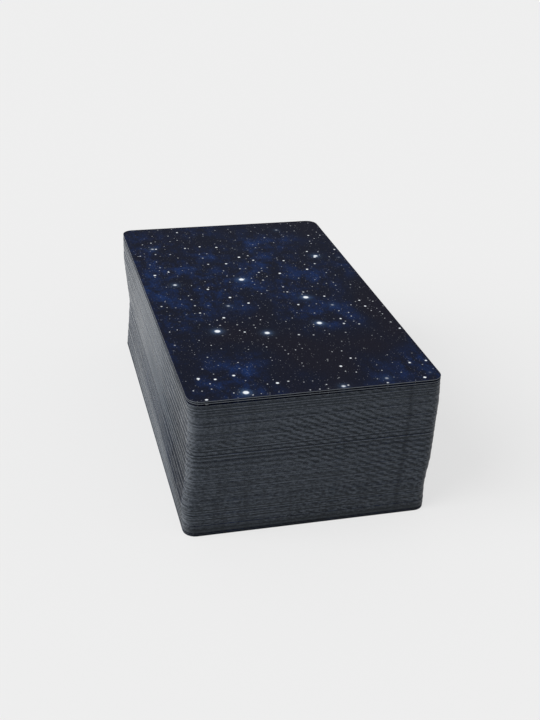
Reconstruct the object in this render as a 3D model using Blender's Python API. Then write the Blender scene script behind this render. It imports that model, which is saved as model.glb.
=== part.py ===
"""Deck of oracle cards: a hand-squared stack of round-cornered cards lying backs up.

Metres, +Z up. The origin is at the middle of the underside, and the short front end faces -Y.
Single cards lie at the bottom and the top. The cards between them are fused two by two, and a
groove round the rim shows where each two part. Every card or pair can slide on the one below it.
"""

import math
import random

import bmesh
import bpy
import numpy as np
from mathutils import Matrix, Vector

# The card
CARD_WIDTH = 0.070
CARD_LENGTH = 0.120
CARD_THICKNESS = 0.00035
CORNER_RADIUS = 0.0035
CORNER_STEPS = 5
PARTING_DEPTH = 0.00008

# The stack, from the bottom: single cards, pairs and single cards, with the air between them
LOW_CARDS = 2
PAIRS = 48
HIGH_CARDS = 10
AIR_FILM = 0.000038
LOOSE_CARDS = 2
BOTTOM_AIR = 0.00015
TOP_AIR = 0.00030

# How a hand leaves it: the way each end of the stack stands off to the right, at even steps from
# the foot of the stack to its top, and how far each card is jogged from there. A hand squares the
# long sides better than the ends.
FRONT_DRIFT = (-0.0010, -0.0015, -0.0005, -0.0002, 0.0001, -0.0004)
BACK_DRIFT = (0.0003, 0.0011, 0.0015, 0.0005, -0.0004, -0.0004)
JOG_SIDEWAYS = 0.00003
JOG_ENDWAYS = 0.00010
JOG_TURN = math.radians(0.01)
JOG_SEED = 7

# Colour, roughness and metallic value
BACK_PRINT = ((0.010, 0.014, 0.034), 0.40, 0.0)
CARD_STOCK = ((0.042, 0.045, 0.054), 0.70, 0.0)

UNIT_SQUARE = 1.0
ROUND_PROFILE = 0.5
SHARP_ANGLE = math.radians(40)
MERGE_DISTANCE = 0.000001


def clear_scene():
    for obj in list(bpy.data.objects):
        bpy.data.objects.remove(obj, do_unlink=True)


def make_material(name, look):
    colour, roughness, metallic = look
    material = bpy.data.materials.new(name)
    material.use_nodes = True
    shader = material.node_tree.nodes["Principled BSDF"]
    shader.inputs["Base Color"].default_value = (*colour, 1.0)
    shader.inputs["Roughness"].default_value = roughness
    shader.inputs["Metallic"].default_value = metallic
    return material


def card_outline(bm):
    """The die's outline as one flat face: a rectangle with its four corners rounded."""
    bmesh.ops.create_grid(bm, x_segments=1, y_segments=1, size=UNIT_SQUARE / 2)
    bmesh.ops.scale(bm, vec=(CARD_WIDTH, CARD_LENGTH, 1.0), verts=bm.verts)
    bmesh.ops.bevel(
        bm,
        geom=bm.verts[:],
        offset=CORNER_RADIUS,
        segments=CORNER_STEPS,
        profile=ROUND_PROFILE,
        affect="VERTICES",
    )
    return bm.faces[:][0]


def raise_wall(bm, face, height):
    """Extrudes the face straight up and returns the face at the top of the new wall."""
    raised = bmesh.ops.extrude_face_region(bm, geom=[face])["geom"]
    corners = [item for item in raised if isinstance(item, bmesh.types.BMVert)]
    bmesh.ops.translate(bm, vec=(0.0, 0.0, height), verts=corners)
    return next(item for item in raised if isinstance(item, bmesh.types.BMFace))


def piece_height(cards):
    return cards * CARD_THICKNESS + (cards - 1) * AIR_FILM


def form_card(bm):
    raise_wall(bm, card_outline(bm), CARD_THICKNESS)


def form_pair(bm):
    """Two cards fused face to face: one drawn in at its upper rim and left open, and its mirror image."""
    half_height = piece_height(2) / 2
    rim = raise_wall(bm, card_outline(bm), half_height - PARTING_DEPTH)
    bmesh.ops.inset_region(
        bm,
        faces=[rim],
        thickness=PARTING_DEPTH,
        depth=PARTING_DEPTH,
        use_even_offset=True,
    )
    bmesh.ops.delete(bm, geom=[rim], context="FACES_ONLY")
    bmesh.ops.translate(bm, vec=(0.0, 0.0, -half_height), verts=bm.verts)
    lower_card = bm.verts[:] + bm.edges[:] + bm.faces[:]
    bmesh.ops.mirror(bm, geom=lower_card, axis="Z", merge_dist=MERGE_DISTANCE)
    bmesh.ops.translate(bm, vec=(0.0, 0.0, half_height), verts=bm.verts)


def make_mesh(name, form, material):
    bm = bmesh.new()
    form(bm)
    bmesh.ops.recalc_face_normals(bm, faces=bm.faces)
    mesh = bpy.data.meshes.new(name)
    bm.to_mesh(mesh)
    bm.free()
    mesh.materials.append(material)
    mesh.shade_smooth()
    mesh.set_sharp_from_angle(angle=SHARP_ANGLE)
    return mesh


def stack_plan():
    """Name, mesh and number of cards of each piece, from the bottom of the stack to the top."""
    stock = make_material("card_stock", CARD_STOCK)
    card = make_mesh("card", form_card, stock)
    pair = make_mesh("card_pair", form_pair, stock)
    top_card = make_mesh("top_card", form_card, make_material("back_print", BACK_PRINT))
    plan = [("bottom_card", card, 1)]
    plan += [(f"lower_card_{n:02d}", card, 1) for n in range(1, LOW_CARDS)]
    plan += [(f"card_pair_{n:02d}", pair, 2) for n in range(1, PAIRS + 1)]
    plan += [(f"upper_card_{n:02d}", card, 1) for n in range(1, HIGH_CARDS)]
    plan += [("top_card", top_card, 1)]
    return plan


def air_above(index, pieces):
    """The gap over a piece, wider at the loose cards at the bottom and the top of the stack."""
    if index < LOOSE_CARDS:
        return BOTTOM_AIR
    if index >= pieces - LOOSE_CARDS - 1:
        return TOP_AIR
    return AIR_FILM


def stack_heights(plan):
    """The height of each piece's underside."""
    heights = [0.0]
    for index, (_, _, cards) in enumerate(plan[:-1]):
        heights.append(heights[-1] + piece_height(cards) + air_above(index, len(plan)))
    return heights


def drift_at(share, drift):
    return float(np.interp(share, np.linspace(0.0, 1.0, len(drift)), drift))


def lie(obj, height, share, hand):
    """Lays a piece at its height with its two ends where the drift puts them, jogged by the hand."""
    front = drift_at(share, FRONT_DRIFT)
    back = drift_at(share, BACK_DRIFT)
    turn = math.atan2(front - back, CARD_LENGTH) + hand.uniform(-JOG_TURN, JOG_TURN)
    front_end = Vector((0.0, -CARD_LENGTH / 2, 0.0))
    turned = Matrix.Translation(front_end) @ Matrix.Rotation(turn, 4, "Z") @ Matrix.Translation(-front_end)
    sideways = front + hand.uniform(-JOG_SIDEWAYS, JOG_SIDEWAYS)
    endways = hand.uniform(-JOG_ENDWAYS, JOG_ENDWAYS)
    obj.matrix_local = Matrix.Translation((sideways, endways, height)) @ turned


def build_deck():
    deck = bpy.data.collections.new("oracle_card_deck")
    bpy.context.scene.collection.children.link(deck)
    origin = bpy.data.objects.new("deck_origin", None)
    deck.objects.link(origin)
    hand = random.Random(JOG_SEED)
    plan = stack_plan()
    heights = stack_heights(plan)
    for (name, mesh, _), height in zip(plan, heights):
        obj = bpy.data.objects.new(name, mesh)
        deck.objects.link(obj)
        obj.parent = origin
        lie(obj, height, height / heights[-1], hand)


clear_scene()
build_deck()
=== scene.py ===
# %% [markdown]
# # An oracle card deck, lying backs up
#
# The construction model comes first, as a fixed frame: 60 solids, each of them one card or two
# cards fused face to face, and each riding on a body of its own. Their places stay as they are.
# This lesson gives them what the solids lack: a rolled rim on every single card, the printed back,
# the cut edges, and the light to see them by.

# %% Load the frame
import math

import bpy
import numpy as np
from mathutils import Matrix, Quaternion, Vector


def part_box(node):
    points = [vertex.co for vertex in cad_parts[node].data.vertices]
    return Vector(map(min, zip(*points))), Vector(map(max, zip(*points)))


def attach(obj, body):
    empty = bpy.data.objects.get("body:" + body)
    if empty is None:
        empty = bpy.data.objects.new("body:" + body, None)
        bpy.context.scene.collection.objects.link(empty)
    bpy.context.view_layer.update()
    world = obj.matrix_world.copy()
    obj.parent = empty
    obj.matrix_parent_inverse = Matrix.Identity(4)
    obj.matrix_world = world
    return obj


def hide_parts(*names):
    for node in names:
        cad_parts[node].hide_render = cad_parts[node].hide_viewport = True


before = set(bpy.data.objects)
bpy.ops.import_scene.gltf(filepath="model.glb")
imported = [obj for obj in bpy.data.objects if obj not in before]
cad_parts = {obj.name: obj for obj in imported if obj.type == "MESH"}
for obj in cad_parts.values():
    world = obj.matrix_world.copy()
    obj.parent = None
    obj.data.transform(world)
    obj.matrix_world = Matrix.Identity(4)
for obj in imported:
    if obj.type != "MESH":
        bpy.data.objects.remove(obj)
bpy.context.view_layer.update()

scene = bpy.context.scene
scene.view_settings.view_transform = "Standard"

# %% [markdown]
# ## Where the camera stands
#
# A photograph fixes its own camera. The long and short edges of the top card run to two vanishing
# points, and these give the tilt, the turn and the focal length, while the card's known size gives
# the distance. It could be set by eye, but then every later comparison would blame the wrong thing.
# So the place, the aim and the lean below come from such a fit, in millimetres.

# %% Camera
MM = 0.001
IMAGE_HEIGHT = 720
FOCAL_PIXELS = 1056
CAMERA_PLACE = Vector((-80.5, -285.1, 178.4)) * MM
CAMERA_AIM = Vector((3.05, 0.1, 19.5)) * MM
CAMERA_LEAN = math.radians(2.85)
NEAREST = 10 * MM

camera_data = bpy.data.cameras.new("photo_camera")
camera_data.sensor_fit = "AUTO"
camera_data.lens = camera_data.sensor_width * FOCAL_PIXELS / IMAGE_HEIGHT
camera_data.clip_start = NEAREST
camera = bpy.data.objects.new("photo_camera", camera_data)
scene.collection.objects.link(camera)
camera.location = CAMERA_PLACE
camera.rotation_mode = "QUATERNION"
aim = (CAMERA_AIM - CAMERA_PLACE).to_track_quat("-Z", "Y")
camera.rotation_quaternion = aim @ Quaternion((0.0, 0.0, 1.0), CAMERA_LEAN)
scene.camera = camera
print("lens:", round(camera_data.lens, 2), "mm")
print("distance:", round((CAMERA_AIM - CAMERA_PLACE).length / MM), "mm")

# %% [markdown]
# ## Putting nodes together
#
# Both the card's shape and its finishes are node trees, and a tree written out by hand is mostly
# adding a node and joining it up. A few small helpers keep that to one line a node: `feed` joins or
# sets one entry, `put` adds a node and hands back one of its outlets, and the others are the sums,
# the mixes and the smooth steps that every finish below is made of.

# %% Node helpers
def feed(tree, entry, value):
    """Joins an outlet to a node's entry, or sets a plain value there."""
    if isinstance(value, bpy.types.NodeSocket):
        tree.links.new(value, entry)
    else:
        entry.default_value = value


def put(tree, kind, entries=None, outlet=0, **settings):
    """Adds a node with its settings and entries, and returns one of its outlets."""
    node = tree.nodes.new(kind)
    for name, value in settings.items():
        setattr(node, name, value)
    for name, value in (entries or {}).items():
        feed(tree, node.inputs[name], value)
    return node.outputs[outlet]


def new_finish(name):
    """A fresh material, its node tree and its Principled shader."""
    finish = bpy.data.materials.new(name)
    finish.use_nodes = True
    return finish, finish.node_tree, finish.node_tree.nodes["Principled BSDF"]


print("node helpers: feed, put, new_finish")

# %% Sums, mixes and smooth steps
def reckon(tree, operation, first, second=0.0):
    return put(tree, "ShaderNodeMath", {0: first, 1: second}, operation=operation)


def times(tree, first, *others):
    """The product of all the values."""
    for other in others:
        first = reckon(tree, "MULTIPLY", first, other)
    return first


def plus(tree, first, *others):
    """The sum of all the values."""
    for other in others:
        first = reckon(tree, "ADD", first, other)
    return first


def arrow(tree, operation, first, second=(0.0, 0.0, 0.0)):
    """A sum on vectors."""
    return put(tree, "ShaderNodeVectorMath", {0: first, 1: second}, operation=operation)


def pack_vector(tree, x=0.0, y=0.0, z=0.0):
    return put(tree, "ShaderNodeCombineXYZ", {"X": x, "Y": y, "Z": z})


def parts_of(tree, vector):
    return put(tree, "ShaderNodeSeparateXYZ", {"Vector": vector}).node.outputs


RISE = (0.0, 1.0)
FADE = (1.0, 0.0)


def ease(tree, value, span, levels=RISE):
    """The first level before the span, the second after it, and a smooth change between."""
    entries = {"Value": value, "From Min": span[0], "From Max": span[1],
               "To Min": levels[0], "To Max": levels[1]}
    return put(tree, "ShaderNodeMapRange", entries, interpolation_type="SMOOTHSTEP")


def tint(tree, share, first, second):
    """Two colours mixed by a share."""
    return put(tree, "ShaderNodeMix", {0: share, 6: first, 7: second}, outlet=2, data_type="RGBA")


def flat_noise(tree, place, waves, detail, rough=0.5):
    """Noise in a plane, with so many waves to a unit of the place."""
    entries = {"Vector": place, "Scale": waves, "Detail": detail, "Roughness": rough}
    return put(tree, "ShaderNodeTexNoise", entries, noise_dimensions="2D")


print("sums, mixes and smooth steps ready")

# %% [markdown]
# ## The printed back: night sky
#
# The back carries a near-black navy print with blue haze and a few hundred white stars of very
# unlike size. A painted picture would do it once. A Voronoi texture does it for any card: each cell
# holds one point, the distance to that point draws a round star, and the cell's random colour says
# how bright it is, or whether it is there at all. Four layers of cells, from dust to a dozen bright
# stars with a glow, make the stars. The layout is a random one. Everything is measured in
# millimetres of card, read from the card's own UV map.

# %% Star layers
CARD_WIDTH = 70.0
CARD_LENGTH = 120.0
SMALLEST_STAR = 0.4
LAYER_SHIFT = (17.0, 5.0)
# Size of a cell, share of cells with a star, radius, solid core as a share of it, and gain
STAR_LAYERS = (
    (0.7, 0.30, 0.16, 0.00, 0.32),
    (2.5, 0.55, 0.30, 0.05, 1.00),
    (5.0, 0.45, 0.56, 0.20, 1.90),
    (16.0, 0.55, 1.05, 0.20, 2.00),
)


def star_layer(tree, place, cell, share, radius, core):
    """How much star is at each point, how far its middle is, and how strong it is."""
    moved = arrow(tree, "ADD", place, (cell * LAYER_SHIFT[0], cell * LAYER_SHIFT[1], 0.0))
    entries = {"Vector": moved, "Scale": 1.0 / cell, "Randomness": 1.0}
    distance = put(tree, "ShaderNodeTexVoronoi", entries, voronoi_dimensions="2D")
    chance = put(tree, "ShaderNodeSeparateColor", {"Color": distance.node.outputs["Color"]}).node.outputs
    away = times(tree, distance, cell)
    lit = reckon(tree, "LESS_THAN", chance["Green"], share)
    strength = times(tree, reckon(tree, "POWER", chance["Red"], 2.0), lit)
    reach = plus(tree, times(tree, chance["Red"], 1.0 - SMALLEST_STAR), SMALLEST_STAR)
    ratio = reckon(tree, "DIVIDE", away, times(tree, reach, radius))
    return times(tree, ease(tree, ratio, (core, 1.0), FADE), strength), away, strength


def all_stars(tree, place):
    """The brightest star of any layer at each point, with the last layer's distance and strength."""
    stars = 0.0
    for cell, share, radius, core, gain in STAR_LAYERS:
        spot, away, strength = star_layer(tree, place, cell, share, radius, core)
        stars = reckon(tree, "MAXIMUM", stars, times(tree, spot, gain))
    return stars, away, strength


print("star layers:", len(STAR_LAYERS), "on a card of", CARD_WIDTH, "x", CARD_LENGTH, "mm")

# %% [markdown]
# ## Haze and border
#
# Between the stars the print is not one black: soft clouds of blue lie in banks, and a browner dusk
# fills the gaps. Two noises do that. A coarse one says where the banks are, and a fine one with many
# octaves, a little drawn out along the card, gives the clouds in them. Near the rim the stars fade
# out, because a print is rarely cut right through a bright star and the rolled rim would smear it.

# %% Haze and border
NIGHT = (0.0082, 0.0102, 0.0212, 1.0)
HAZE = (0.0098, 0.0300, 0.1150, 1.0)
DUSK = (0.0108, 0.0106, 0.0182, 1.0)
HAZE_STRETCH = (1.0, 0.7, 1.0)
CLOUD_WAVES = 0.13
CLOUD_DETAIL = 9.0
CLOUD_ROUGH = 0.74
CLOUD_SPAN = (0.40, 0.80)
BANK_SHIFT = (311.0, 97.0, 0.0)
BANK_WAVES = 0.030
BANK_DETAIL = 2.0
BANK_SPAN = (0.36, 0.62)
DUSK_SPAN = (0.44, 0.30)
DUSK_LEVELS = (0.0, 0.8)
BORDER = (0.30, 0.95)
MIDDLE = (0.5, 0.5, 0.0)


def hazy_sky(tree, place):
    drawn_out = arrow(tree, "MULTIPLY", place, HAZE_STRETCH)
    cloud = flat_noise(tree, drawn_out, CLOUD_WAVES, CLOUD_DETAIL, CLOUD_ROUGH)
    bank = flat_noise(tree, arrow(tree, "ADD", drawn_out, BANK_SHIFT), BANK_WAVES, BANK_DETAIL)
    haze = times(tree, ease(tree, cloud, CLOUD_SPAN), ease(tree, bank, BANK_SPAN))
    sky = tint(tree, ease(tree, bank, DUSK_SPAN, DUSK_LEVELS), NIGHT, DUSK)
    return tint(tree, haze, sky, HAZE)


def inside_border(tree, uv):
    """Nothing at the rim of the card and one inside the border."""
    off_middle = arrow(tree, "ABSOLUTE", arrow(tree, "SUBTRACT", uv, MIDDLE))
    inset = arrow(tree, "SUBTRACT", MIDDLE, off_middle)
    inset = parts_of(tree, arrow(tree, "MULTIPLY", inset, (CARD_WIDTH, CARD_LENGTH, 0.0)))
    return ease(tree, reckon(tree, "MINIMUM", inset["X"], inset["Y"]), BORDER)


print("border:", BORDER, "mm")

# %% Night sky finish
STARLIGHT = (0.88, 0.92, 0.97, 1.0)
GLOW = (0.20, 0.36, 0.66, 1.0)
GLOW_FALL = -1.5
GLOW_SHARE = 0.9
GRAIN_WAVES = 2.2
GRAIN_DETAIL = 4.0
GRAIN_SPAN = (0.25, 0.75)
GRAIN_TONE = (0.70, 1.30)
SATIN_SPAN = (0.3, 0.7)
BACK_ROUGHNESS = (0.50, 0.62)
BACK_SPECULAR = 0.015
PRINT_BUMP = 0.15
PRINT_RELIEF = 0.04 * MM


def make_night_sky():
    finish, tree, shader = new_finish("night_sky_back")
    uv = put(tree, "ShaderNodeUVMap", uv_map="UVMap")
    place = arrow(tree, "MULTIPLY", uv, (CARD_WIDTH, CARD_LENGTH, 1.0))
    stars, away, strength = all_stars(tree, place)
    fall = reckon(tree, "EXPONENT", times(tree, away, GLOW_FALL))
    sky = tint(tree, times(tree, fall, strength, GLOW_SHARE), hazy_sky(tree, place), GLOW)
    grain = flat_noise(tree, place, GRAIN_WAVES, GRAIN_DETAIL)
    tone = ease(tree, grain, GRAIN_SPAN, GRAIN_TONE)
    sky = put(tree, "ShaderNodeVectorMath", {0: sky, "Scale": tone}, operation="SCALE")
    stars = put(tree, "ShaderNodeClamp", {"Value": times(tree, stars, inside_border(tree, uv))})
    feed(tree, shader.inputs["Base Color"], tint(tree, stars, sky, STARLIGHT))
    feed(tree, shader.inputs["Roughness"], ease(tree, grain, SATIN_SPAN, BACK_ROUGHNESS))
    bump = {"Height": grain, "Strength": PRINT_BUMP, "Distance": PRINT_RELIEF}
    feed(tree, shader.inputs["Normal"], put(tree, "ShaderNodeBump", bump))
    shader.inputs["Specular IOR Level"].default_value = BACK_SPECULAR
    return finish


night_sky = make_night_sky()
print("finish:", night_sky.name, "with", len(night_sky.node_tree.nodes), "nodes")

# %% [markdown]
# ## Reading a card's own place
#
# The cut edge is one finish for 108 cards, so it has to know where on a card it is, and on which one.
# Object coordinates would do for a straight stack, but this one leans, and the marks of the knife
# lean with it. So the place is read from the card's UV map, measured from the middle of the card, and
# the card's number in the deck, kept as an attribute of the mesh, stands in for the height. The way a
# point faces tells a long side from a short end, a round corner, and the part of a rim that looks up.

# %% Edge masks
LONG_SIDE = (0.55, 0.90)
CORNER_IN = (0.25, 0.80)
CORNER_OUT = (0.995, 0.90)
LOOKS_UP = (0.35, 0.85)
TINY = 0.001


def edge_sides(tree):
    """How far a point belongs to a long side, to a round corner, and to a rim that faces up."""
    facing = parts_of(tree, put(tree, "ShaderNodeNewGeometry", outlet="Normal"))
    sideways = reckon(tree, "ABSOLUTE", facing["X"])
    endways = reckon(tree, "ABSOLUTE", facing["Y"])
    ratio = reckon(tree, "DIVIDE", sideways, plus(tree, sideways, endways, TINY))
    corner = times(tree, ease(tree, ratio, CORNER_IN), ease(tree, ratio, CORNER_OUT))
    return {"long_side": ease(tree, ratio, LONG_SIDE), "corner": corner,
            "upward": ease(tree, facing["Z"], LOOKS_UP)}


print("edge masks: long side, corner, upward")

# %% Place on the card
PITCH = 0.39 * MM
NOISE_ROUGH = 0.6
FIBRE_WAVES = (1300.0, 1300.0, 2600.0)
WANDER_WAVES = (150.0, 150.0, 220.0)
FIBRE_DETAIL = 2.0


def stretched_noise(tree, place, waves, detail):
    """Noise with so many waves to a metre along each axis."""
    entries = {"Vector": arrow(tree, "MULTIPLY", place, waves), "Scale": 1.0, "Detail": detail,
               "Roughness": NOISE_ROUGH}
    return put(tree, "ShaderNodeTexNoise", entries)


def place_on_card(tree, number):
    """Where a point lies on its own card, from the card's middle, with its number for a height."""
    uv = put(tree, "ShaderNodeUVMap", uv_map="UVMap")
    span = (CARD_WIDTH * MM, CARD_LENGTH * MM, 0.0)
    start = pack_vector(tree, -span[0] / 2, -span[1] / 2, times(tree, number, PITCH))
    return put(tree, "ShaderNodeVectorMath", {0: uv, 1: span, 2: start}, operation="MULTIPLY_ADD")


def random_tone(tree, number):
    return put(tree, "ShaderNodeTexWhiteNoise", {"W": number}, noise_dimensions="1D")


def read_card(tree):
    """All that the marks on an edge depend on, by name."""
    number = put(tree, "ShaderNodeAttribute", outlet="Fac", attribute_name="card_number")
    place = place_on_card(tree, number)
    across, depth, height = parts_of(tree, place)
    own_place = put(tree, "ShaderNodeTexCoord", outlet="Object")
    card = {"number": number, "place": place, "across": across, "depth": depth, "height": height,
            "tone": random_tone(tree, number),
            "fibres": stretched_noise(tree, own_place, FIBRE_WAVES, FIBRE_DETAIL),
            "wander": stretched_noise(tree, place, WANDER_WAVES, FIBRE_DETAIL)}
    card.update(edge_sides(tree))
    return card


print("card pitch for the marks:", round(PITCH / MM, 3), "mm")

# %% [markdown]
# ## What the knife leaves on the short ends
#
# Each card is cut by a die from board with a dark core, so its edge is slate grey and nearly black
# inside. The knife leaves short slanted dashes, in patches and more of them to the right, which hook
# upwards at the round corners. Every card has a tone of its own and flecks of torn fibre. Faint
# upright tracks and one darker stripe cross all the cards alike, where the blade has a nick. A
# texture painted on the front would look right from one side only. Here each mark is one term in a
# sum, the share of pale fibre that shows, so it follows every card wherever the card slides. Two
# terms of that sum are painted shade: the ends grow darker towards the right, away from the lamp,
# and towards the foot of the deck, most of all over the lowest cards.

# %% Dashes and flecks
KNIFE_STEP = 1.62 * MM
KNIFE_SLANT = 0.48
KNIFE_WANDER = 5.0
CORNER_START = -56.5 * MM
CORNER_SLANT = 2.0
LOWER_HALF = (4 * MM, 22 * MM)
PATCH_WAVES = (30.0, 30.0, 55.0)
PATCH_DETAIL = 1.0
PATCH_DRIFT = 4.0
PATCH_SPAN = (0.40, 0.60)
DASH_LEVELS = (0.18, 0.40)
DASH_IN_PATCH = (0.30, 1.30)
FLECK = 1.2 * MM
FLECK_SHIFT = 7.3
FLECK_DETAIL = 3.0
FLECK_ROUGH = 0.55
FLECK_MEAN = 0.5
FLECK_LEVELS = (3.6, 2.4)
FLECK_IN_PATCH = (0.70, 1.10)


def patches_of(tree, card):
    """Where the knife has dragged, rising to the right."""
    noise = stretched_noise(tree, card["place"], PATCH_WAVES, PATCH_DETAIL)
    return plus(tree, noise, times(tree, card["across"], PATCH_DRIFT))


def knife_dashes(tree, card, patches):
    hook = times(tree, reckon(tree, "MINIMUM", card["depth"], CORNER_START), CORNER_SLANT)
    reach = plus(tree, times(tree, card["across"], KNIFE_SLANT), hook, card["height"])
    phase = plus(tree, times(tree, reach, math.tau / KNIFE_STEP), times(tree, card["wander"], KNIFE_WANDER))
    return times(tree, reckon(tree, "SINE", phase), ease(tree, card["height"], LOWER_HALF, DASH_LEVELS),
                 ease(tree, patches, PATCH_SPAN, DASH_IN_PATCH))


def fibre_flecks(tree, card, patches):
    own = pack_vector(tree, z=times(tree, card["number"], FLECK_SHIFT))
    grid = (1.0 / FLECK, 1.0 / FLECK, 0.0)
    strip = put(tree, "ShaderNodeVectorMath", {0: card["place"], 1: grid, 2: own}, operation="MULTIPLY_ADD")
    entries = {"Vector": strip, "Scale": 1.0, "Detail": FLECK_DETAIL, "Roughness": FLECK_ROUGH}
    flecks = reckon(tree, "SUBTRACT", put(tree, "ShaderNodeTexNoise", entries), FLECK_MEAN)
    return times(tree, flecks, ease(tree, card["height"], LOWER_HALF, FLECK_LEVELS),
                 ease(tree, patches, PATCH_SPAN, FLECK_IN_PATCH))


print("knife step:", round(KNIFE_STEP / MM, 2), "mm, fleck:", round(FLECK / MM, 2), "mm")

# %% Share of pale fibre, with painted shade
TONE_STEP = 0.6
SHARE_SPAN = (-0.78, 0.86)
TRACK_WAVES = (220.0, 220.0, 4.0)
TRACK_DETAIL = 4.0
TRACK_SPAN = (0.34, 0.52)
TRACK_LEVELS = (0.72, 1.0)
FIBRE_SPAN = (0.30, 0.70)
FIBRE_LEVELS = (0.45, 1.55)
DARK_CARD = (0.05, 0.20)
DARK_LEVELS = (0.30, 1.0)
# Painted shade: the ends are darker towards the right, away from the lamp.
RIGHTWARD_SHADE_SPAN = (-20 * MM, 35 * MM)
RIGHTWARD_SHADE_LEVELS = (1.04, 0.92)
# Painted shade at the foot of the deck: darker over the lowest cards and towards the bottom.
SHADED_FOOT = (0.0, 4.5 * MM)
FOOT_SHADE_LEVELS = (0.20, 1.0)
LOWER_SHADE_LEVELS = (0.85, 1.05)
BLADE_NICK = 25.5 * MM
NICK_WIDTH = 1.1 * MM
NICK_LEVELS = (0.45, 1.0)


def fibre_share_and_shade(tree, card):
    """Share of pale fibre at each point of an edge, with painted shade to the right and at the foot."""
    patches = patches_of(tree, card)
    tone_above = random_tone(tree, plus(tree, card["number"], 1.0))
    tone_step = times(tree, reckon(tree, "SUBTRACT", card["tone"], tone_above), TONE_STEP)
    marks = plus(tree, knife_dashes(tree, card, patches), tone_step, fibre_flecks(tree, card, patches))
    tracks = stretched_noise(tree, card["place"], TRACK_WAVES, TRACK_DETAIL)
    # Painted shade at the foot: the ends darker over the lowest cards and towards the bottom, though not on
    # the long sides.
    foot_shade = times(tree, ease(tree, card["height"], SHADED_FOOT, FOOT_SHADE_LEVELS),
                    ease(tree, card["height"], LOWER_HALF, LOWER_SHADE_LEVELS))
    off_nick = reckon(tree, "ABSOLUTE", reckon(tree, "SUBTRACT", card["across"], BLADE_NICK))
    return times(tree, ease(tree, marks, SHARE_SPAN),
                 ease(tree, tracks, TRACK_SPAN, TRACK_LEVELS),
                 ease(tree, card["fibres"], FIBRE_SPAN, FIBRE_LEVELS),
                 ease(tree, card["tone"], DARK_CARD, DARK_LEVELS),
                 # Painted shade: darker towards the right, away from the lamp.
                 ease(tree, card["across"], RIGHTWARD_SHADE_SPAN, RIGHTWARD_SHADE_LEVELS),
                 reckon(tree, "MAXIMUM", foot_shade, card["long_side"]),
                 ease(tree, off_nick, (0.0, NICK_WIDTH), NICK_LEVELS))


print("blade nick at", round(BLADE_NICK / MM, 1), "mm to the right")

# %% [markdown]
# ## Polish, wear and painted light on the long sides
#
# A deck is held by its long sides, and hands polish them from the middle to the far end. Coated
# board lit by a pale room reflects little when it is seen square on and a good deal when the eye
# slides along it, which is why the long side looks paler than the front end. A pale paint alone would
# look so from every side. So most of it is the shader's own reflection: the polish lowers the
# roughness, and bands of a few cards each stay matt near the front corner, where the grip ends. The
# colour adds painted light to it: a lighter bluish tone over the fibres where the side is polished is
# a painted sheen, and the darker fibres where it is not are painted shade. Corners and upper rims are
# painted pale, and so are the ends of the uppermost cards, partly as wear from rubbing and handling
# and partly as a painted highlight where they catch the light.

# %% Polish, wear and painted light
WHOLE = (0.0, 1.0)
GRIP_WANDER = 0.02
GRIP_LOW = (2 * MM, 14 * MM)
GRIP_REACH = (14 * MM, 0.0)
GRIP_START = (-48 * MM, 4 * MM)
GRIP_END = (15 * MM, 55 * MM)
GRIP_LEVELS = (1.0, 0.66)
# Pale wear and painted highlight on upward rims, corners and the uppermost cards
RUB_AND_HIGHLIGHT_LEVELS = (0.9, 0.3)
CORNER_RUB_AND_HIGHLIGHT = 0.95
RUB_AND_HIGHLIGHT_SPAN = (0.05, 0.60)
RUB_AND_HIGHLIGHT_SHARE = (0.30, 1.0)
HANDLED_AND_HIGHLIGHT_FROM = 105.5
HANDLED_AND_HIGHLIGHT_LEVELS = (0.65, 0.0)


def polish_and_sheen_of(tree, card):
    """How far a point on a long side is polished by the hand, which is also where the sheen is painted."""
    low = ease(tree, card["height"], GRIP_LOW, GRIP_REACH)
    held = plus(tree, card["depth"], times(tree, card["wander"], GRIP_WANDER), low)
    return times(tree, ease(tree, held, GRIP_START), ease(tree, card["depth"], GRIP_END, GRIP_LEVELS),
                 card["long_side"])


def wear_and_highlight_of(tree, card, share):
    """How far a point is painted pale, partly as wear and partly as a painted highlight."""
    # Upward rims and corners: partly rubbed, partly a painted highlight.
    rub_and_highlight = times(tree, card["upward"], ease(tree, card["long_side"], WHOLE, RUB_AND_HIGHLIGHT_LEVELS))
    rub_and_highlight = reckon(tree, "MAXIMUM", rub_and_highlight, times(tree, card["corner"], CORNER_RUB_AND_HIGHLIGHT))
    rub_and_highlight = times(tree, rub_and_highlight, ease(tree, share, RUB_AND_HIGHLIGHT_SPAN, RUB_AND_HIGHLIGHT_SHARE))
    # Uppermost cards: partly handled, partly a painted highlight along their ends.
    handled_and_highlight = times(tree, reckon(tree, "GREATER_THAN", card["number"], HANDLED_AND_HIGHLIGHT_FROM),
                    ease(tree, card["long_side"], WHOLE, HANDLED_AND_HIGHLIGHT_LEVELS))
    return reckon(tree, "MAXIMUM", rub_and_highlight, handled_and_highlight)


print("polish starts", round(-GRIP_START[0] / MM), "mm in front of the middle of the card")

# %% Gloss
GLOSS_LEVELS = (0.38, 0.25)
GRIT_SPAN = (0.3, 0.7)
GRIT_LEVELS = (-0.03, 0.03)
GRIT_ON_SIDE = (1.0, 0.25)
BAND_CARDS = 5.3
BAND_WANDER = 3.0
BAND_SPAN = (-0.6, 0.6)
BAND_LEVELS = (0.0, 0.65)
BAND_FIBRE = 0.35
DULL_SPAN = (0.28, 0.80)
DULL_LEVELS = (0.90, -0.20)
DULL_LOW = (0.75, 1.0)
OVERHANG = (16 * MM, 19 * MM)
OVERHANG_END = (20 * MM, 29 * MM)
MATT_DEPTH = (-5 * MM, 22 * MM)
MATT_LEVELS = (0.10, 0.0)


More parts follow.
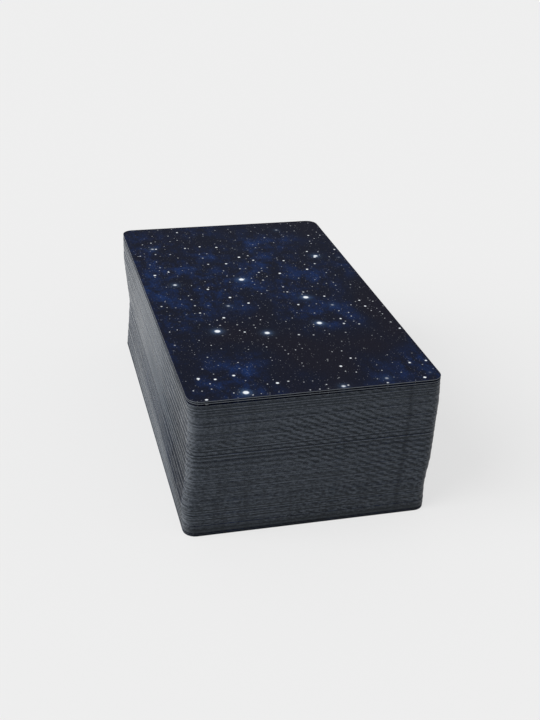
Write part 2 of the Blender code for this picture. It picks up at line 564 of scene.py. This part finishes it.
def roughness_of(tree, card, share, polish_and_sheen):
    """Smooth where it is polished, matt in bands of cards and where the stack hangs over."""
    phase = plus(tree, times(tree, card["number"], math.tau / BAND_CARDS),
                 times(tree, card["wander"], BAND_WANDER))
    band = ease(tree, reckon(tree, "SINE", phase), BAND_SPAN, BAND_LEVELS)
    band = plus(tree, band, times(tree, share, BAND_FIBRE))
    bare_and_shaded = reckon(tree, "SUBTRACT", card["long_side"], polish_and_sheen)
    dull = times(tree, ease(tree, band, DULL_SPAN, DULL_LEVELS),
                 ease(tree, card["height"], LOWER_HALF, DULL_LOW), bare_and_shaded)
    matt = times(tree, ease(tree, card["height"], OVERHANG),
                 ease(tree, card["height"], OVERHANG_END, FADE),
                 ease(tree, card["depth"], MATT_DEPTH, MATT_LEVELS), card["long_side"])
    grit = times(tree, ease(tree, card["fibres"], GRIT_SPAN, GRIT_LEVELS),
                 ease(tree, card["long_side"], WHOLE, GRIT_ON_SIDE))
    return plus(tree, ease(tree, polish_and_sheen, WHOLE, GLOSS_LEVELS), dull, matt, grit)


print("matt bands:", BAND_CARDS, "cards each")

# %% Cut edge finish
CORE = (0.0020, 0.0024, 0.0034, 1.0)
FIBRE = (0.0515, 0.0592, 0.0738, 1.0)
# Pale colour of wear and of painted highlight
PALE_WEAR_AND_HIGHLIGHT = (0.1050, 0.1150, 0.1300, 1.0)
# Painted sheen on the polished long side, in lighter bluish tones
PAINTED_SHEEN = (0.0300, 0.0480, 0.0740, 1.0)
PAINTED_SHEEN_CORE = (0.0040, 0.0110, 0.0200, 1.0)
EDGE_SHEEN = (0.74, 0.87, 1.0, 1.0)
EDGE_SPECULAR = 0.3
SHEEN_COVER = 0.9
# Painted shade on the long side where it is not polished
BARE_SIDE_SHADE = (1.0, 0.25)
EDGE_RELIEF = 0.03 * MM
EDGE_BUMP = (0.20, 0.02)


def make_cut_edge():
    finish, tree, shader = new_finish("cut_edge")
    card = read_card(tree)
    share = fibre_share_and_shade(tree, card)
    polish_and_sheen = polish_and_sheen_of(tree, card)
    bare_and_shaded = reckon(tree, "SUBTRACT", card["long_side"], polish_and_sheen)
    # Painted shade: where the long side is not polished, its fibre colour is darkened to a quarter.
    colour = tint(tree, times(tree, share, ease(tree, bare_and_shaded, WHOLE, BARE_SIDE_SHADE)), CORE, FIBRE)
    # Painted sheen: a lighter bluish tone laid over the polished part of the long side.
    smooth = tint(tree, share, PAINTED_SHEEN_CORE, PAINTED_SHEEN)
    colour = tint(tree, times(tree, polish_and_sheen, SHEEN_COVER), colour, smooth)
    # Pale wear and painted highlight on corners, upward rims and the uppermost cards.
    feed(tree, shader.inputs["Base Color"], tint(tree, wear_and_highlight_of(tree, card, share), colour, PALE_WEAR_AND_HIGHLIGHT))
    feed(tree, shader.inputs["Roughness"], roughness_of(tree, card, share, polish_and_sheen))
    bump = {"Height": card["fibres"], "Distance": EDGE_RELIEF,
            "Strength": ease(tree, card["long_side"], WHOLE, EDGE_BUMP)}
    feed(tree, shader.inputs["Normal"], put(tree, "ShaderNodeBump", bump))
    shader.inputs["Specular IOR Level"].default_value = EDGE_SPECULAR
    shader.inputs["Specular Tint"].default_value = EDGE_SHEEN
    return finish


cut_edge = make_cut_edge()
print("finish:", cut_edge.name, "with", len(cut_edge.node_tree.nodes), "nodes")

# %% [markdown]
# ## The hidden face
#
# The faces of the cards lie downwards and are never seen in a deck at rest, only a little from below
# when a card is slid out. They get a plain dark board with a faint mottle, which could be a printed
# picture on a real card. A flat colour would do for what shows, but would look like plastic.

# %% Card face finish
FACE_DARK = (0.020, 0.024, 0.040, 1.0)
FACE_LIGHT = (0.026, 0.031, 0.050, 1.0)
MOTTLE_WAVES = 180.0
MOTTLE_DETAIL = 4.0
MOTTLE_SPAN = (0.35, 0.65)
FACE_ROUGHNESS = (0.48, 0.58)
FACE_SPECULAR = 0.2


def make_card_face():
    finish, tree, shader = new_finish("plain_face")
    place = put(tree, "ShaderNodeTexCoord", outlet="Object")
    entries = {"Vector": place, "Scale": MOTTLE_WAVES, "Detail": MOTTLE_DETAIL}
    mottle = put(tree, "ShaderNodeTexNoise", entries)
    colour = tint(tree, ease(tree, mottle, MOTTLE_SPAN), FACE_DARK, FACE_LIGHT)
    feed(tree, shader.inputs["Base Color"], colour)
    feed(tree, shader.inputs["Roughness"], ease(tree, mottle, SATIN_SPAN, FACE_ROUGHNESS))
    bump = {"Height": mottle, "Strength": PRINT_BUMP, "Distance": PRINT_RELIEF}
    feed(tree, shader.inputs["Normal"], put(tree, "ShaderNodeBump", bump))
    shader.inputs["Specular IOR Level"].default_value = FACE_SPECULAR
    return finish


plain_face = make_card_face()
print("finish:", plain_face.name)

# %% [markdown]
# ## One card, by rule
#
# A card is a rectangle with round corners, pressed by the die so that its rim is rolled over on both
# sides. Every card is the same, so it is a rule and not a model: a Geometry Nodes tree draws the
# outline, sweeps a squared half round along it for the rim, and fills the two faces. A bevelled box
# would also give a rim, but one that has to be kept in step by hand on 108 cards.

# %% Inputs of the card tree
INPUT_KINDS = {"Width": "Float", "Length": "Float", "Thickness": "Float", "Corner radius": "Float",
               "Rim depth": "Float", "Cards": "Int", "Pitch": "Float", "Place": "Vector", "Turn": "Float",
               "Roll": "Float", "Jog": "Vector", "First card": "Int", "Foot": "Float", "Lean": "Float"}


def name_inputs(tree):
    """The sizes that the tree takes, by name, and the identifier of each."""
    tree.interface.new_socket("Geometry", in_out="OUTPUT", socket_type="NodeSocketGeometry")
    sockets = {name: tree.interface.new_socket(name, in_out="INPUT", socket_type="NodeSocket" + kind)
               for name, kind in INPUT_KINDS.items()}
    return {name: socket.identifier for name, socket in sockets.items()}


print("inputs of the card tree:", len(INPUT_KINDS))

# %% Outline and rim
CORNER_STEPS = 6
RIM_STEPS = 8
RIM_SQUARE = 0.5


def draw_outline(tree, size):
    """The line inside the rolled rim, with its corners rounded."""
    depth = times(tree, size["Rim depth"], 2.0)
    outline = put(tree, "GeometryNodeCurvePrimitiveQuadrilateral", {
        "Width": reckon(tree, "SUBTRACT", size["Width"], depth),
        "Height": reckon(tree, "SUBTRACT", size["Length"], depth)})
    radius = reckon(tree, "SUBTRACT", size["Corner radius"], size["Rim depth"])
    entries = {"Curve": outline, "Count": CORNER_STEPS, "Radius": radius}
    return put(tree, "GeometryNodeFilletCurve", entries, mode="POLY")


def roll_rim(tree, size, outline, half):
    """A half round, squared up a little, swept along the outline."""
    bow = put(tree, "GeometryNodeCurveArc", {"Resolution": RIM_STEPS + 1, "Radius": 1.0,
                                             "Start Angle": -math.pi / 2, "Sweep Angle": math.pi})
    spot = parts_of(tree, put(tree, "GeometryNodeInputPosition"))
    wall = reckon(tree, "POWER", reckon(tree, "ABSOLUTE", spot["X"]), RIM_SQUARE)
    rise = reckon(tree, "POWER", reckon(tree, "ABSOLUTE", spot["Y"]), RIM_SQUARE)
    rise = times(tree, rise, reckon(tree, "SIGN", spot["Y"]))
    squared = pack_vector(tree, wall, rise)
    bow = put(tree, "GeometryNodeSetPosition", {"Geometry": bow, "Position": squared})
    stretch = pack_vector(tree, size["Rim depth"], half, 1.0)
    bow = put(tree, "GeometryNodeTransform", {"Geometry": bow, "Scale": stretch})
    return put(tree, "GeometryNodeCurveToMesh", {"Curve": outline, "Profile Curve": bow})


print("rim:", RIM_STEPS, "steps round, corners:", CORNER_STEPS, "steps")

# %% [markdown]
# ## The foot under a loose card
#
# Two cards at the top lie loose, with a dark slit under each. Slits that go right through would let
# the bright room behind them shine through at the corners, which a real, slightly bent card never
# does. Bending the cards would make them cut into each other when they slide. So a loose card's face
# is carried straight down to the card below, a little inside the rim, where only the slit is seen.

# %% Foot
FOOT_INSET = Vector((0.35, 0.90, 0.0)) * MM


def push_in(tree, geometry, selection=True):
    """Doubles the selected face in place and returns the mesh and the new face."""
    entries = {"Mesh": geometry, "Selection": selection, "Offset Scale": 0.0, "Individual": False}
    pushed = put(tree, "GeometryNodeExtrudeMesh", entries)
    return pushed, pushed.node.outputs["Top"]


def shrink_share(tree, inset, span):
    return reckon(tree, "SUBTRACT", 1.0, reckon(tree, "DIVIDE", 2 * inset, span))


def add_foot(tree, size, face):
    """A loose card's face carried down to the card below it, a little inside the rim."""
    spot = put(tree, "GeometryNodeInputPosition")
    narrow = shrink_share(tree, FOOT_INSET.x, size["Width"])
    short = shrink_share(tree, FOOT_INSET.y, size["Length"])
    drawn_in = arrow(tree, "MULTIPLY", spot, pack_vector(tree, narrow, short, 1.0))
    ledge, inner = push_in(tree, face)
    entries = {"Geometry": ledge, "Selection": inner, "Position": drawn_in}
    foot, sole = push_in(tree, put(tree, "GeometryNodeSetPosition", entries), inner)
    drop = plus(tree, size["Foot"], times(tree, size["Lean"], parts_of(tree, spot)["X"]))
    down = pack_vector(tree, z=times(tree, drop, -1.0))
    foot = put(tree, "GeometryNodeSetPosition", {"Geometry": foot, "Selection": sole, "Offset": down})
    wanted = reckon(tree, "GREATER_THAN", size["Foot"], 0.0)
    entries = {"Switch": wanted, "False": face, "True": foot}
    return put(tree, "GeometryNodeSwitch", entries, input_type="GEOMETRY")


print("foot inset:", [round(v / MM, 2) for v in FOOT_INSET[:2]], "mm")

# %% Whole card
WELD = 0.001 * MM


def draw_card(tree, size):
    """One card with its underside at zero: rim, back and face, with the UV map of its back."""
    half = times(tree, size["Thickness"], 0.5)
    up = pack_vector(tree, z=half)
    down = pack_vector(tree, z=times(tree, half, -1.0))
    outline = draw_outline(tree, size)
    sheet = put(tree, "GeometryNodeFillCurve", {"Curve": outline}, mode="NGONS")
    back = put(tree, "GeometryNodeTransform", {"Geometry": sheet, "Translation": up})
    face = put(tree, "GeometryNodeTransform", {"Geometry": sheet, "Translation": down})
    face = add_foot(tree, size, put(tree, "GeometryNodeFlipFaces", {"Mesh": face}))
    joined = tree.nodes.new("GeometryNodeJoinGeometry")
    for part in (roll_rim(tree, size, outline, half), back, face):
        tree.links.new(part, joined.inputs[0])
    card = put(tree, "GeometryNodeMergeByDistance", {"Geometry": joined.outputs[0], "Distance": WELD})
    span = pack_vector(tree, size["Width"], size["Length"], 1.0)
    share = arrow(tree, "DIVIDE", put(tree, "GeometryNodeInputPosition"), span)
    entries = {"Geometry": card, "Name": "UVMap", "Value": arrow(tree, "ADD", share, MIDDLE)}
    card = put(tree, "GeometryNodeStoreNamedAttribute", entries, data_type="FLOAT2", domain="CORNER")
    return put(tree, "GeometryNodeTransform", {"Geometry": card, "Translation": up})


print("a card is one welded shell")

# %% [markdown]
# ## Laying cards on each other
#
# A solid of two cards' height holds two cards, and no hand lays them exactly alike. The same tree
# lays the card down as often as it is told, jogs each copy by a random hair with a fixed seed, and
# notes its number for the finish. At the end the copies are made real, because an export drops
# instances, and each face gets its finish by the way it looks: up, down or sideways.

# %% Card tree
SEED = 11
FLAT = 0.99


def lay_cards(tree, size, card):
    """The card laid down as often as asked, each jogged a little, with its number in the deck."""
    entries = {"Count": size["Cards"], "Start Location": (0.0, 0.0, 0.0),
               "Offset": pack_vector(tree, z=size["Pitch"])}
    spots = put(tree, "GeometryNodeMeshLine", entries)
    number = plus(tree, put(tree, "GeometryNodeInputIndex"), size["First card"])
    entries = {0: (-1.0, -1.0, 0.0), 1: (1.0, 1.0, 0.0), "ID": number, "Seed": SEED}
    shake = put(tree, "FunctionNodeRandomValue", entries, data_type="FLOAT_VECTOR")
    jog = arrow(tree, "MULTIPLY", shake, size["Jog"])
    spots = put(tree, "GeometryNodeSetPosition", {"Geometry": spots, "Offset": jog})
    angles = pack_vector(tree, y=size["Roll"], z=size["Turn"])
    turned = put(tree, "FunctionNodeEulerToRotation", {"Euler": angles})
    entries = {"Points": spots, "Instance": card, "Rotation": turned}
    laid = put(tree, "GeometryNodeInstanceOnPoints", entries)
    entries = {"Geometry": laid, "Name": "card_number", "Value": number}
    laid = put(tree, "GeometryNodeStoreNamedAttribute", entries, domain="INSTANCE")
    return put(tree, "GeometryNodeTransform", {"Geometry": laid, "Translation": size["Place"]})


def make_card_tree():
    tree = bpy.data.node_groups.new("cards", "GeometryNodeTree")
    identifiers = name_inputs(tree)
    size = tree.nodes.new("NodeGroupInput").outputs
    laid = lay_cards(tree, size, draw_card(tree, size))
    cards = put(tree, "GeometryNodeRealizeInstances", {"Geometry": laid})
    rise = parts_of(tree, put(tree, "GeometryNodeInputNormal"))["Z"]
    is_back = reckon(tree, "GREATER_THAN", rise, FLAT)
    is_face = reckon(tree, "LESS_THAN", rise, -FLAT)
    is_rim = reckon(tree, "LESS_THAN", reckon(tree, "ABSOLUTE", rise), FLAT)
    cards = put(tree, "GeometryNodeSetShadeSmooth", {"Geometry": cards, "Shade Smooth": is_rim})
    for finish, where in ((cut_edge, is_rim), (night_sky, is_back), (plain_face, is_face)):
        entries = {"Geometry": cards, "Selection": where, "Material": finish}
        cards = put(tree, "GeometryNodeSetMaterial", entries)
    tree.links.new(cards, tree.nodes.new("NodeGroupOutput").inputs[0])
    return tree, identifiers


card_tree, card_inputs = make_card_tree()
print("card tree:", len(card_tree.nodes), "nodes, inputs:", ", ".join(card_inputs))

# %% [markdown]
# ## Loose cards
#
# The two lowest and the three uppermost cards lie looser than the rest, and the dark lines beside
# them are wide enough to see. They could be moved apart, but the frame fixes where each solid lies.
# So they are drawn thinner, and the second card from the top rides a hair higher and rolls a hair to
# the right, which closes the slit over it at the left and opens it at the right.

# %% Loose cards
THICKNESS = 0.35 * MM
LOOSE_THICKNESS = 0.24 * MM
LOOSE_SEAT = 0.03 * MM
RIDE = 0.10 * MM
RIDE_ROLL = 0.0035
FLAT_LAY = (0.0, 0.0, 0.0, 0.0)


def air_under(node, below):
    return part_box(node)[0].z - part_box(below)[1].z


def loose_cards():
    """Lift, roll, foot and lean of the foot for each card that lies loose."""
    spare = THICKNESS - LOOSE_THICKNESS
    top_foot = air_under("top_card", "upper_card_09") + 2 * spare - RIDE - LOOSE_SEAT
    riding_foot = air_under("upper_card_09", "upper_card_08") + spare + RIDE - LOOSE_SEAT
    lays = dict.fromkeys(("bottom_card", "lower_card_01", "upper_card_08"), FLAT_LAY)
    lays["upper_card_09"] = (RIDE, RIDE_ROLL, riding_foot, -RIDE_ROLL)
    lays["top_card"] = (spare, 0.0, top_foot, RIDE_ROLL)
    return lays


loose = loose_cards()
print("loose cards:", ", ".join(loose))

# %% [markdown]
# ## The whole deck, card by card
#
# Each solid says where its cards go. Its long left edge runs between the two points that stand
# furthest left in its back half and in its front half, so that edge gives its turn, and the middle
# of its box gives its place. The cards are a hair smaller than the solid, so that a jogged card
# still lies inside it, and a hair thicker, which closes the film of air over it: seen level, that
# film would let a line of light through the whole deck.

# %% Cards of one solid
CORNER_RADIUS = 3.5 * MM
RIM_DEPTH = 0.12 * MM
JOG = Vector((0.02, 0.06, 0.0)) * MM
NO_JOG = Vector((0.0, 0.0, 0.0))
SEAT = 0.005 * MM
FULL_THICKNESS = THICKNESS + air_under("card_pair_02", "card_pair_01") - SEAT


def lay_of(node):
    """Place of a solid's underside, its turn and its height, from its own corners."""
    points = np.array([vertex.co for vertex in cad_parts[node].data.vertices])
    back = points[points[:, 1] > 0.0]
    front = points[points[:, 1] < 0.0]
    edge = back[back[:, 0].argmin()] - front[front[:, 0].argmin()]
    low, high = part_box(node)
    place = Vector(((low.x + high.x) / 2, (low.y + high.y) / 2, low.z))
    return place, math.atan2(-edge[0], edge[1]), high.z - low.z


def card_sizes(node, first_card):
    """What the card tree needs to know for one solid."""
    place, turn, height = lay_of(node)
    cards = round(height / THICKNESS)
    lift, roll, foot, lean = loose.get(node, FLAT_LAY)
    place.z += lift
    return {"Width": CARD_WIDTH * MM - 2 * JOG.x, "Length": CARD_LENGTH * MM - 2 * JOG.y,
            "Thickness": LOOSE_THICKNESS if node in loose else FULL_THICKNESS,
            "Corner radius": CORNER_RADIUS, "Rim depth": RIM_DEPTH,
            "Cards": cards, "Pitch": (height - THICKNESS) / max(1, cards - 1),
            "Place": place, "Turn": turn, "Roll": roll, "Jog": JOG if cards > 1 else NO_JOG,
            "First card": first_card, "Foot": foot, "Lean": lean}


print("cards drawn", round(FULL_THICKNESS / MM, 3), "mm thick, loose ones", round(LOOSE_THICKNESS / MM, 3))

# %% Lay the deck
def lay_solid(node, first_card):
    """The cards of one solid as a plain mesh, in place of the solid."""
    piece = bpy.data.objects.new("printed_" + node, bpy.data.meshes.new("blank"))
    scene.collection.objects.link(piece)
    growth = piece.modifiers.new("cards", "NODES")
    growth.node_group = card_tree
    sizes = card_sizes(node, first_card)
    for name, value in sizes.items():
        growth[card_inputs[name]] = value
    grown = piece.evaluated_get(bpy.context.evaluated_depsgraph_get())
    mesh = bpy.data.meshes.new_from_object(grown)
    mesh.name = piece.name
    piece.modifiers.remove(growth)
    piece.data = mesh
    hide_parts(node)
    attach(piece, node)
    return sizes["Cards"], len(mesh.polygons)


def lay_deck():
    """Dresses every solid from the bottom up and counts the cards."""
    count = 0
    faces = 0
    for node in sorted(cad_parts, key=lambda name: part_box(name)[0].z):
        cards, polygons = lay_solid(node, count)
        count += cards
        faces += polygons
    return count, faces


card_count, face_count = lay_deck()
print("cards laid:", card_count, "faces:", face_count)

# %% [markdown]
# ## Floor
#
# A pale floor runs on past every edge of the picture, as a white sweep does in a studio. Lit alone
# it would come out unevenly grey. So most of what the camera sees of it is its own colour, given out
# evenly by way of Light Path, and the rest is lit as usual and keeps the deck's shadow. Glossy edges
# mirror a part of that even colour. Matt surfaces don't see it, so it adds no light to them.

# %% Floor
FLOOR_GREY = 0.863
FLOOR_SIZE = 8.0
SHADOW_SHARE = 0.24
MIRRORED_SHARE = 0.4


def make_floor():
    mesh = bpy.data.meshes.new("studio_floor")
    half = FLOOR_SIZE / 2
    corners = [(-half, -half, 0), (half, -half, 0), (half, half, 0), (-half, half, 0)]
    mesh.from_pydata(corners, [], [(0, 1, 2, 3)])
    floor = bpy.data.objects.new("studio_floor", mesh)
    scene.collection.objects.link(floor)
    finish, tree, shader = new_finish("pale_floor")
    grey = (FLOOR_GREY, FLOOR_GREY, FLOOR_GREY, 1.0)
    shader.inputs["Base Color"].default_value = grey
    shader.inputs["Roughness"].default_value = 1.0
    shader.inputs["Specular IOR Level"].default_value = 0.0
    rays = put(tree, "ShaderNodeLightPath").node.outputs
    mirrored = times(tree, rays["Is Glossy Ray"], MIRRORED_SHARE)
    seen = reckon(tree, "MAXIMUM", rays["Is Camera Ray"], mirrored)
    seen = reckon(tree, "MAXIMUM", seen, rays["Is Transmission Ray"])
    pale = put(tree, "ShaderNodeEmission", {"Color": grey, "Strength": 1.0})
    entries = {0: times(tree, seen, 1.0 - SHADOW_SHARE), 1: shader.outputs[0], 2: pale}
    mixed = put(tree, "ShaderNodeMixShader", entries)
    tree.links.new(mixed, tree.nodes["Material Output"].inputs["Surface"])
    mesh.materials.append(finish)


make_floor()
print("floor:", FLOOR_SIZE, "m wide, shadow share", SHADOW_SHARE)

# %% [markdown]
# ## Light
#
# A pale backdrop stands all round, as bright as the floor, and passes into a darker ceiling, so that
# the top of the deck stays deep and the sides catch the pale room. It is one smooth step over the
# height of the sky. One broad soft lamp from the left gives the shadow a side. Its strength is set
# from its direction, so that it brings a known share of the light on a level surface.

# %% Backdrop, ceiling and lamp
CEILING = 0.35
CEILING_SPAN = (0.30, 0.70)
LAMP_SHARE = 0.50
LAMP_DIRECTION = Vector((-0.80, -0.12, 0.60)).normalized()
LAMP_SPREAD = math.radians(50)


def make_sky():
    world = bpy.data.worlds.new("studio_sky")
    scene.world = world
    world.use_nodes = True
    tree = world.node_tree
    background = tree.nodes["Background"]
    rise = parts_of(tree, put(tree, "ShaderNodeTexCoord", outlet="Generated"))["Z"]
    background.inputs["Color"].default_value = (1.0, 1.0, 1.0, 1.0)
    feed(tree, background.inputs["Strength"], ease(tree, rise, CEILING_SPAN, (FLOOR_GREY, CEILING)))


def make_lamp():
    data = bpy.data.lights.new("soft_lamp", "SUN")
    data.angle = LAMP_SPREAD
    data.energy = LAMP_SHARE * math.pi / LAMP_DIRECTION.z
    lamp = bpy.data.objects.new("soft_lamp", data)
    scene.collection.objects.link(lamp)
    lamp.rotation_mode = "QUATERNION"
    lamp.rotation_quaternion = LAMP_DIRECTION.to_track_quat("Z", "Y")
    return data.energy


make_sky()
print("lamp strength:", round(make_lamp(), 2))
